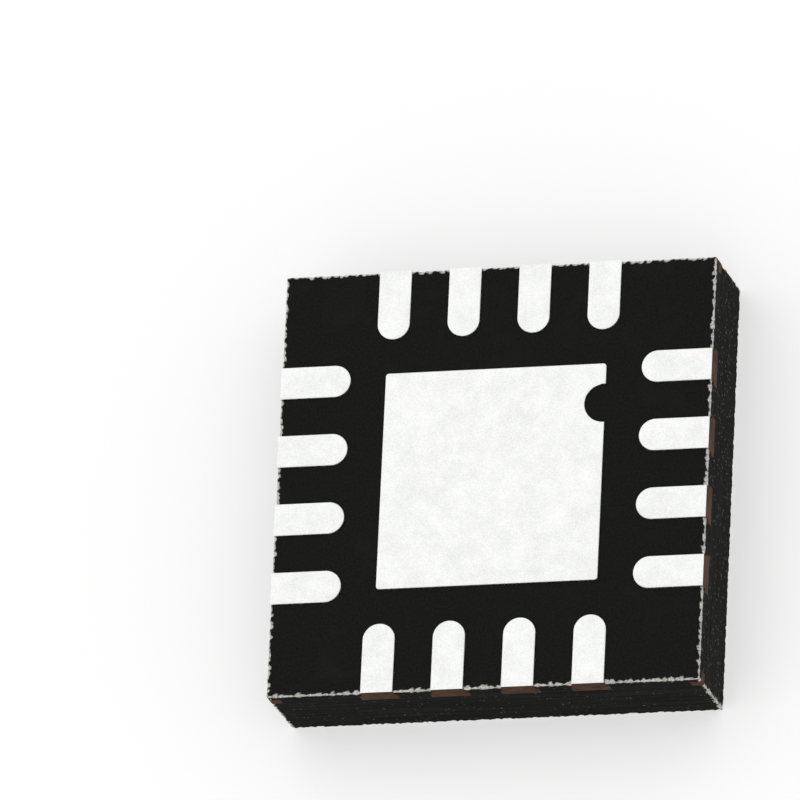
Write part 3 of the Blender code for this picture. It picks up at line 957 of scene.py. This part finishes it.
SAWN_BLACK = "#1F1F1C"
SILICA = "#6A6862"
# Near white on the chipped edges: partly crushed filler, partly a painted highlight along the edges.
PALE_FILLER_AND_EDGE_HIGHLIGHT = "#E6E5DE"


def spaced(length, count):
    """Places from 0 to a length: close together near both ends, even between them."""
    body = np.linspace(EDGE_LINES[-1], length - EDGE_LINES[-1], count)
    return np.concatenate((EDGE_LINES[:-1], body, (length - EDGE_LINES[:-1])[::-1]))


def block_rings(half, height):
    """Rings of the whole block, from the blank face's middle, up the walls and in to the other's middle."""
    run = spaced(2 * half, SIDE_POINTS)[:-1] - half
    unit = np.concatenate([turned_flat(at_x(half, run), side) for side in range(SIDES)])
    inwards = np.concatenate((EDGE_LINES, np.geomspace(FACE_INSET, half, FACE_RINGS)))
    section = [(1 - inset / half, 0) for inset in inwards[:0:-1]]
    section += [(1, z) for z in spaced(height, WALL_RINGS)]
    section += [(1 - inset / half, height) for inset in inwards[1:]]
    return stacked([(unit * share, z) for share, z in section])


def chip_sizes(place, length, generator):
    """How far an edge is broken back at places along it: a narrow even break, and rounded chips at random.

    Each chip's depth over its width is the root of one less the square of the distance from its middle, and
    the deepest chip at a place counts.
    """
    count = int(length / CHIP_PITCH)
    middles = (np.arange(count) + generator.uniform(*CHIP_SCATTER, count)) * CHIP_PITCH - length / 2
    widths = generator.uniform(*CHIP_WIDTH, count) / 2
    depths = generator.uniform(*CHIP_DEPTH, count) * generator.choice(CHIP_SHARES, count)
    nearness = 1 - ((place[:, None] - middles) / widths) ** 2
    return EDGE_BREAK + (depths * np.sqrt(np.clip(nearness, 0, 1))).max(axis=1)


def worn_block(half, height):
    """The block with its edges chipped and its walls rippled by the saw.

    A point near an edge moves in from both of the edge's faces by half of what the break there reaches beyond
    it, so that the break lies at 45 degrees. The ripple is the mean of waves in height, which slant slightly
    along the wall, and a half more, and it never stands out of the wall.
    """
    rings = block_rings(half, height)
    points = rings.reshape(-1, 3)
    generator = np.random.default_rng(CHIP_SEED)
    moved = points.copy()
    depth = half - np.abs(points[:, :2])
    ends = np.stack((points[:, 2], height - points[:, 2]))
    for axis in range(2):
        for sign in (-1, 1):
            facing = points[:, axis] * sign > 0
            for end, direction in ((0, 1), (1, -1)):
                size = chip_sizes(points[:, 1 - axis], 2 * half, generator)
                step = facing * np.clip(size - depth[:, axis] - ends[end], 0, None) / 2
                moved[:, axis] -= sign * step
                moved[:, 2] += direction * step
    for sign_x in (-1, 1):
        for sign_y in (-1, 1):
            facing = (points[:, 0] * sign_x > 0) & (points[:, 1] * sign_y > 0)
            size = chip_sizes(points[:, 2] - height / 2, height, generator)
            step = facing * np.clip(size - depth[:, 0] - depth[:, 1], 0, None) / 2
            moved[:, 0] -= sign_x * step
            moved[:, 1] -= sign_y * step
    waves = generator.uniform(*RIPPLE_LENGTH, RIPPLE_WAVES)
    phases = generator.uniform(0, 2 * math.pi, RIPPLE_WAVES)
    for axis in range(2):
        wall = depth[:, axis] < MERGE
        reach = points[:, 2] + RIPPLE_SLANT * points[:, 1 - axis]
        ripple = np.sin(reach[:, None] / waves * 2 * math.pi + phases + axis).mean(axis=1) + 0.5
        moved[:, axis] -= np.sign(points[:, axis]) * wall * np.maximum(ripple, 0) * SAW_RIPPLE
    return moved.reshape(rings.shape)


def drop_closed_slivers(mesh):
    """Cuts the faces into triangles and takes out each pair of them on the same three points.

    Such a pair is all that is left of a sliver whose points were merged.
    """
    shape = bmesh.new()
    shape.from_mesh(mesh)
    bmesh.ops.triangulate(shape, faces=shape.faces, quad_method="FIXED", ngon_method="EAR_CLIP")
    shape.to_mesh(mesh)
    used = np.empty(len(mesh.loops), np.int32)
    mesh.loops.foreach_get("vertex_index", used)
    corners = np.sort(used.reshape(-1, 3), axis=1)
    _, which, times = np.unique(corners, axis=0, return_inverse=True, return_counts=True)
    shut = np.flatnonzero(times[which.ravel()] > 1)
    shape.faces.ensure_lookup_table()
    bmesh.ops.delete(shape, geom=[shape.faces[index] for index in shut], context="FACES")
    shape.to_mesh(mesh)
    shape.free()


def moulding_mesh():
    """The worn block, less the room that the leads, die pad, glue, die and wires take up in it."""
    block = bpy.data.objects.new("block", skinned("block", worn_block(wall_x, mould_face_z)))
    bpy.context.scene.collection.objects.link(block)
    rooms = bpy.data.collections.new("rooms")
    bpy.context.scene.collection.children.link(rooms)
    die_low, die_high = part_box("silicon_die")
    die_room = die_high.x + MOULD_GAP
    shares = (0, 0.5, 1)
    die_section = [(share * die_room, 0, die_low.z - MOULD_GAP) for share in shares]
    die_section += [(share * die_room, 0, die_high.z + 2 * SEAT_GAP) for share in shares[::-1]]
    shapes = [lead_rings(number, MOULD_GAP, CUTTER_OVERRUN) for number in range(1, LEADS + 1)]
    shapes += [wire_rings(number, MOULD_GAP) for number in range(1, LEADS + 1)]
    shapes += [pad_rings(MOULD_GAP, CUTTER_OVERRUN), glue_rings(MOULD_GAP), square_rings(die_section)]
    for rings in shapes:
        rooms.objects.link(bpy.data.objects.new("room", skinned("room", rings)))
    cut = block.modifiers.new("Room for the inner pieces", "BOOLEAN")
    cut.solver = "MANIFOLD"
    cut.operand_type = "COLLECTION"
    cut.collection = rooms
    clean = block.modifiers.new("Merge slivers", "WELD")
    clean.merge_threshold = SLIVER
    bpy.context.view_layer.update()
    mesh = bpy.data.meshes.new_from_object(block.evaluated_get(bpy.context.evaluated_depsgraph_get()))
    for used in (*rooms.objects, block):
        bpy.data.objects.remove(used)
    bpy.data.collections.remove(rooms)
    mesh.name = "sawn_moulding"
    drop_closed_slivers(mesh)
    return mesh


def moulded_epoxy():
    """Black epoxy as the mould leaves it.

    It is near black, with the mould's spark-eroded grain of about 20 microns, and paler where the resin ran.
    """
    material, tree = emptied(bpy.data.materials.new("moulded_black_epoxy"))
    place = add_node(tree, "TexCoord").outputs["Object"]
    grain = add_node(
        tree, "TexNoise", {"Vector": place, "Scale": 1 / MOULD_GRAIN, "Detail": 4.0, "Roughness": 0.65}
    )
    flow = add_node(
        tree,
        "TexNoise",
        {"Vector": place, "Scale": 1 / RESIN_FLOW, "Detail": 5.0, "Roughness": 0.6, "Distortion": 1.2},
    )
    pits = add_node(tree, "MapRange", {"Value": grain, "From Min": 0.38, "From Max": 0.64})
    tint = add_node(
        tree,
        "Mix",
        {SHARE: pits, COLOUR_A: linear(MOULD_BLACK_SHADE), COLOUR_B: linear(MOULD_BLACK)},
        data_type="RGBA",
    )
    bloom = add_node(tree, "MapRange", {"Value": flow, "From Min": 0.5, "From Max": 0.75, "To Max": 0.6})
    paint = add_node(
        tree, "Mix", {SHARE: bloom, COLOUR_A: tint, COLOUR_B: linear(MOULD_BLOOM)}, data_type="RGBA"
    )
    dull = add_node(
        tree, "MapRange", {"Value": flow, "From Min": 0.3, "From Max": 0.7, "To Min": 0.52, "To Max": 0.66}
    )
    bump = add_node(tree, "Bump", {"Height": grain, "Strength": 1.0, "Distance": 0.0040 * MM})
    shader = add_node(
        tree,
        "BsdfPrincipled",
        {"Base Color": paint, "Roughness": dull, "Specular IOR Level": 0.08, "Normal": bump},
    )
    add_node(tree, "OutputMaterial", {"Surface": shader})
    return material


def sawn_epoxy():
    """Black epoxy as the saw leaves it.

    It is a shade greyer, with level blade marks, and with grey specks where silica beads up to 24 microns
    across are cut open. Where an edge has chipped away, the rough break is painted near white: partly the
    pale of crushed filler, and partly a painted highlight for the light that the edges catch.
    """
    material, tree = emptied(bpy.data.materials.new("sawn_black_epoxy"))
    place = add_node(tree, "TexCoord").outputs["Object"]
    drawn_out = add_node(tree, "Mapping", {"Vector": place, "Scale": (1, 1, 40)})
    marks = add_node(
        tree, "TexNoise", {"Vector": drawn_out, "Scale": 1 / BLADE_MARK, "Detail": 4.0, "Roughness": 0.6}
    )
    beads = add_node(tree, "TexVoronoi", {"Vector": place, "Scale": 1 / SILICA_BEAD}).outputs
    split = add_node(tree, "SeparateColor", {"Color": beads["Color"]}).outputs
    radius = add_node(tree, "MapRange", {"Value": split["Red"], "From Min": 0.5, "To Max": 0.36})
    cut_open = add_node(tree, "Math", {0: beads["Distance"], 1: radius}, operation="LESS_THAN")
    speck = add_node(tree, "Math", {0: cut_open, 1: split["Green"]}, operation="MULTIPLY")
    streak = add_node(tree, "MapRange", {"Value": marks, "From Min": 0.4, "From Max": 0.62})
    smear = add_node(
        tree,
        "Mix",
        {SHARE: streak, COLOUR_A: linear(MOULD_BLACK_SHADE), COLOUR_B: linear(SAWN_BLACK)},
        data_type="RGBA",
    )
    filled = add_node(
        tree, "Mix", {SHARE: speck, COLOUR_A: smear, COLOUR_B: linear(SILICA)}, data_type="RGBA"
    )
    # The chipped edges are painted near white: partly crushed filler, partly a painted edge highlight.
    edge_break_and_highlight = add_node(tree, "Attribute", attribute_name="edge_break_and_highlight").outputs["Fac"]
    crushed = add_node(
        tree, "TexNoise", {"Vector": place, "Scale": 1 / CRUSHED_GRAIN, "Detail": 3.0, "Roughness": 0.7}
    )
    pale = add_node(tree, "MapRange", {"Value": crushed, "From Min": 0.3, "From Max": 0.62, "To Min": 0.25})
    share = add_node(tree, "Math", {0: edge_break_and_highlight, 1: pale}, operation="MULTIPLY")
    paint = add_node(
        tree, "Mix", {SHARE: share, COLOUR_A: filled, COLOUR_B: linear(PALE_FILLER_AND_EDGE_HIGHLIGHT)}, data_type="RGBA"
    )
    height = add_node(tree, "Math", {0: marks, 1: crushed}, operation="ADD")
    bump = add_node(tree, "Bump", {"Height": height, "Strength": 1.0, "Distance": 0.0018 * MM})
    shader = add_node(
        tree,
        "BsdfPrincipled",
        {"Base Color": paint, "Roughness": 0.72, "Specular IOR Level": 0.03, "Normal": bump},
    )
    add_node(tree, "OutputMaterial", {"Surface": shader})
    return material


def finish_moulding(mesh):
    """The sawn finish on every face but the two moulded ones, and how far each point lies in an edge's break.

    A point's share in the break grows from nothing to one with its distance from the nearest of the block's
    planes, where the second nearest is close too. That share paints the break near white, partly as crushed
    filler and partly as a painted edge highlight.
    """
    points = rows_of(mesh.vertices, "co")
    from_walls = wall_x - np.abs(points[:, :2])
    from_face = np.minimum(points[:, 2], mould_face_z - points[:, 2])
    nearest = np.sort(np.column_stack((from_walls, from_face)), axis=1)
    break_and_highlight_share = np.clip((nearest[:, 0] - BREAK_START) / BREAK_FADE, 0, 1) * (nearest[:, 1] < DEEPEST_BREAK)
    # This share is where the edges are painted near white: crushed filler and a painted edge highlight.
    tint = mesh.attributes.new("edge_break_and_highlight", "FLOAT", "POINT")
    tint.data.foreach_set("value", break_and_highlight_share.astype(np.float32))
    heights = rows_of(mesh.polygons, "center")[:, 2]
    sawn = np.minimum(heights, mould_face_z - heights) > FACE_LEVEL
    mesh.materials.clear()
    for material in (moulded_epoxy(), sawn_epoxy()):
        mesh.materials.append(material)
    mesh.polygons.foreach_set("material_index", sawn.astype(np.int32))


moulding = moulding_mesh()
finish_moulding(moulding)
shown(moulding, "moulding", "mould_body")
